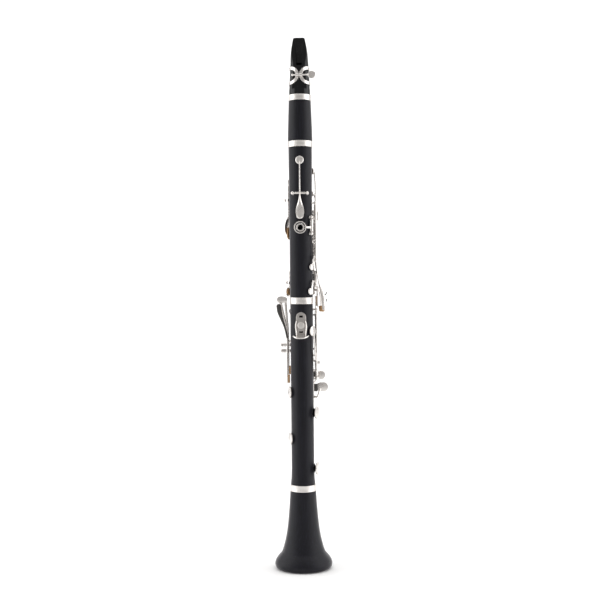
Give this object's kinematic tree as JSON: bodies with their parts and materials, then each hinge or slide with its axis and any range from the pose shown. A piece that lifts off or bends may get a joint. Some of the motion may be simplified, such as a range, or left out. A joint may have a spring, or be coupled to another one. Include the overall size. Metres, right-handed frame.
{
  "type": "clarinet",
  "caption": "Soprano clarinet in black wood with silver-plated keywork, standing on its bell, with mouthpiece, barrel, two joints and bell on cork tenons.",
  "frame": {"origin": "centre of the bell's rim, on the surface the bell stands on", "axes": "+Z along the bore towards the mouthpiece; -Y faces the player; +X is the player's right"},
  "size_m": [0.072, 0.072, 0.664],
  "materials": {
    "wood": "matte black grenadilla",
    "ebonite": "polished black hard rubber",
    "silver": "polished silver plate",
    "cork": "fine natural cork"
  },
  "bodies": {
    "bell_body": {"bell": "wood", "bell_ring": "silver"},
    "lower_joint_body": {"lower_joint": "wood", "lower_joint_ring": "silver", "lower_joint_cork": "cork", "thumb_rest_plate": "silver", "right_ring_key_posts": "silver", "sliver_b_key_posts": "silver", "a_flat_e_flat_key_posts": "silver", "f_c_key_posts": "silver", "f_sharp_c_sharp_key_posts": "silver", "e_b_key_posts": "silver", "left_f_c_lever_posts": "silver", "left_e_b_lever_post": "silver", "left_f_sharp_lever_post": "silver"},
    "upper_joint_body": {"upper_joint": "wood", "upper_joint_top_cork": "cork", "upper_joint_bottom_cork": "cork", "thumb_tube": "silver", "register_tube": "silver", "register_key_posts": "silver", "throat_a_key_posts": "silver", "throat_g_sharp_key_posts": "silver", "sliver_e_flat_key_posts": "silver", "c_sharp_g_sharp_key_posts": "silver", "thumb_ring_key_posts": "silver", "ring_key_posts": "silver", "side_key_posts": "silver", "side_key_1_posts": "silver"},
    "barrel_body": {"barrel": "wood", "barrel_lower_ring": "silver", "barrel_upper_ring": "silver"},
    "mouthpiece_body": {"mouthpiece": "ebonite", "mouthpiece_cork": "cork", "ligature_band": "silver"},
    "ligature_screw": {"ligature_screw": "silver"},
    "thumb_rest_hook": {"thumb_rest_hook": "silver"},
    "thumb_rest_screw": {"thumb_rest_screw": "silver"},
    "register_key": {"register_key": "silver"},
    "throat_a_key": {"throat_a_key": "silver"},
    "throat_g_sharp_key": {"throat_g_sharp_key": "silver"},
    "sliver_e_flat_key": {"sliver_e_flat_key": "silver"},
    "c_sharp_g_sharp_key": {"c_sharp_g_sharp_key": "silver"},
    "thumb_ring_key": {"thumb_ring_key": "silver"},
    "first_ring_key": {"first_ring_key": "silver"},
    "second_ring_key": {"second_ring_key": "silver"},
    "side_key_1": {"side_key_1": "silver"},
    "side_key_2": {"side_key_2": "silver"},
    "side_key_3": {"side_key_3": "silver"},
    "side_key_4": {"side_key_4": "silver"},
    "right_ring_key": {"right_ring_key": "silver"},
    "sliver_b_key": {"sliver_b_key": "silver"},
    "a_flat_e_flat_key": {"a_flat_e_flat_key": "silver"},
    "f_c_key": {"f_c_key": "silver"},
    "f_sharp_c_sharp_key": {"f_sharp_c_sharp_key": "silver"},
    "e_b_key": {"e_b_key": "silver"},
    "left_e_b_lever": {"left_e_b_lever": "silver"},
    "left_f_sharp_lever": {"left_f_sharp_lever": "silver"},
    "left_f_c_lever": {"left_f_c_lever": "silver"}
  },
  "joints": [
    {"name": "lower_joint_pull", "type": "slide", "parent": "bell_body", "child": "lower_joint_body", "axis": [0, 0, 1], "range_m": [0, 0.022]},
    {"name": "upper_joint_pull", "type": "slide", "parent": "lower_joint_body", "child": "upper_joint_body", "axis": [0, 0, 1], "range_m": [0, 0.022]},
    {"name": "barrel_pull", "type": "slide", "parent": "upper_joint_body", "child": "barrel_body", "axis": [0, 0, 1], "range_m": [0, 0.018]},
    {"name": "mouthpiece_pull", "type": "slide", "parent": "barrel_body", "child": "mouthpiece_body", "axis": [0, 0, 1], "range_m": [0, 0.018]},
    {"name": "thumb_rest_slide", "type": "slide", "parent": "lower_joint_body", "child": "thumb_rest_hook", "axis": [0, 0, 1], "range_m": [-0.003, 0.004]},
    {"name": "ligature_screw_turn", "type": "hinge", "parent": "mouthpiece_body", "child": "ligature_screw", "pos_m": [0, -0.0154, 0.616], "axis": [1, 0, 0], "range_deg": [0, 360]},
    {"name": "thumb_rest_screw_turn", "type": "hinge", "parent": "lower_joint_body", "child": "thumb_rest_screw", "pos_m": [0, -0.0183, 0.3043], "axis": [0, -1, 0], "range_deg": [0, 360]},
    {"name": "register_key_hinge", "type": "hinge", "parent": "upper_joint_body", "child": "register_key", "pos_m": [0, -0.0194, 0.4687], "axis": [1, 0, 0], "range_deg": [0, 4.5], "stiffness_Nm_per_rad": 0.04, "springref_deg": -17.19},
    {"name": "throat_a_key_hinge", "type": "hinge", "parent": "upper_joint_body", "child": "throat_a_key", "pos_m": [0, 0.019, 0.47], "axis": [-1, 0, 0], "range_deg": [0, 4], "stiffness_Nm_per_rad": 0.04, "springref_deg": -17.19},
    {"name": "throat_g_sharp_key_hinge", "type": "hinge", "parent": "upper_joint_body", "child": "throat_g_sharp_key", "pos_m": [-0.01611, 0.01007, 0.462], "axis": [-0.5299, -0.848, 0], "range_deg": [0, 3], "stiffness_Nm_per_rad": 0.04, "springref_deg": -17.19},
    {"name": "sliver_e_flat_key_hinge", "type": "hinge", "parent": "upper_joint_body", "child": "sliver_e_flat_key", "pos_m": [-0.00786, 0.01686, 0.382], "axis": [-0.9063, -0.4226, 0], "range_deg": [0, 5], "stiffness_Nm_per_rad": 0.04, "springref_deg": -17.19},
    {"name": "c_sharp_g_sharp_key_hinge", "type": "hinge", "parent": "upper_joint_body", "child": "c_sharp_g_sharp_key", "pos_m": [-0.0154, 0.01078, 0.358], "axis": [-0.5736, -0.8192, 0], "range_deg": [0, 5], "stiffness_Nm_per_rad": 0.04, "springref_deg": -17.19},
    {"name": "thumb_ring_key_hinge", "type": "hinge", "parent": "upper_joint_body", "child": "thumb_ring_key", "pos_m": [0.01398, -0.01053, 0.429], "axis": [0, 0, 1], "range_deg": [-4, 0], "stiffness_Nm_per_rad": 0.04, "springref_deg": 17.19},
    {"name": "first_ring_key_hinge", "type": "hinge", "parent": "upper_joint_body", "child": "first_ring_key", "pos_m": [0.01527, 0.00954, 0.43], "axis": [0, 0, 1], "range_deg": [0, 5], "stiffness_Nm_per_rad": 0.04, "springref_deg": -17.19},
    {"name": "second_ring_key_hinge", "type": "hinge", "parent": "upper_joint_body", "child": "second_ring_key", "pos_m": [0.01527, 0.00954, 0.378], "axis": [0, 0, 1], "range_deg": [0, 5], "stiffness_Nm_per_rad": 0.04, "springref_deg": -17.19},
    {"name": "side_key_1_hinge", "type": "hinge", "parent": "upper_joint_body", "child": "side_key_1", "pos_m": [0.01733, 0.00306, 0.362], "axis": [0, 0, 1], "range_deg": [0, 5], "stiffness_Nm_per_rad": 0.04, "springref_deg": -17.19},
    {"name": "side_key_2_hinge", "type": "hinge", "parent": "upper_joint_body", "child": "side_key_2", "pos_m": [0.01849, -0.00393, 0.397], "axis": [0, 0, 1], "range_deg": [0, 5], "stiffness_Nm_per_rad": 0.04, "springref_deg": -17.19},
    {"name": "side_key_3_hinge", "type": "hinge", "parent": "upper_joint_body", "child": "side_key_3", "pos_m": [0.01849, -0.00393, 0.422], "axis": [0, 0, 1], "range_deg": [-5, 0], "stiffness_Nm_per_rad": 0.04, "springref_deg": 17.19},
    {"name": "side_key_4_hinge", "type": "hinge", "parent": "upper_joint_body", "child": "side_key_4", "pos_m": [0.01849, -0.00393, 0.446], "axis": [0, 0, 1], "range_deg": [-5, 0], "stiffness_Nm_per_rad": 0.04, "springref_deg": 17.19},
    {"name": "right_ring_key_hinge", "type": "hinge", "parent": "lower_joint_body", "child": "right_ring_key", "pos_m": [0.01806, 0.00484, 0.281], "axis": [0, 0, 1], "range_deg": [0, 4], "stiffness_Nm_per_rad": 0.04, "springref_deg": -17.19},
    {"name": "sliver_b_key_hinge", "type": "hinge", "parent": "lower_joint_body", "child": "sliver_b_key", "pos_m": [0.01792, -0.00252, 0.257], "axis": [0, 0, 1], "range_deg": [0, 4], "stiffness_Nm_per_rad": 0.04, "springref_deg": -17.19},
    {"name": "a_flat_e_flat_key_hinge", "type": "hinge", "parent": "lower_joint_body", "child": "a_flat_e_flat_key", "pos_m": [0, 0.0196, 0.214], "axis": [0, 0, 1], "range_deg": [-4, 0], "stiffness_Nm_per_rad": 0.04, "springref_deg": 17.19},
    {"name": "f_c_key_hinge", "type": "hinge", "parent": "lower_joint_body", "child": "f_c_key", "pos_m": [0.01238, 0.01375, 0.212], "axis": [0, 0, 1], "range_deg": [-7.5, 0], "stiffness_Nm_per_rad": 0.04, "springref_deg": 17.19},
    {"name": "f_sharp_c_sharp_key_hinge", "type": "hinge", "parent": "lower_joint_body", "child": "f_sharp_c_sharp_key", "pos_m": [-0.00925, 0.01602, 0.198], "axis": [0, 0, 1], "range_deg": [-5, 0], "stiffness_Nm_per_rad": 0.04, "springref_deg": 17.19},
    {"name": "e_b_key_hinge", "type": "hinge", "parent": "lower_joint_body", "child": "e_b_key", "pos_m": [0.00693, 0.01715, 0.178], "axis": [0, 0, 1], "range_deg": [-7, 0], "stiffness_Nm_per_rad": 0.04, "springref_deg": 17.19},
    {"name": "left_e_b_lever_hinge", "type": "hinge", "parent": "lower_joint_body", "child": "left_e_b_lever", "pos_m": [-0.02442, 0.003, 0.2797], "axis": [-0.1219, -0.9925, 0], "range_deg": [-3, 0], "stiffness_Nm_per_rad": 0.01, "springref_deg": 17.19},
    {"name": "left_f_sharp_lever_hinge", "type": "hinge", "parent": "lower_joint_body", "child": "left_f_sharp_lever", "pos_m": [-0.02442, 0.003, 0.2721], "axis": [-0.1219, -0.9925, 0], "range_deg": [-3, 0], "stiffness_Nm_per_rad": 0.01, "springref_deg": 17.19},
    {"name": "left_f_c_lever_hinge", "type": "hinge", "parent": "lower_joint_body", "child": "left_f_c_lever", "pos_m": [-0.01143, 0.01517, 0.284], "axis": [-0.7986, -0.6018, 0], "range_deg": [-3, 0], "stiffness_Nm_per_rad": 0.01, "springref_deg": 17.19}
  ],
  "couplings": [
    {"joint": "left_e_b_lever_hinge", "follows": "e_b_key_hinge", "ratio": 0.4286},
    {"joint": "left_f_sharp_lever_hinge", "follows": "f_sharp_c_sharp_key_hinge", "ratio": 0.6},
    {"joint": "left_f_c_lever_hinge", "follows": "f_c_key_hinge", "ratio": 0.4}
  ]
}
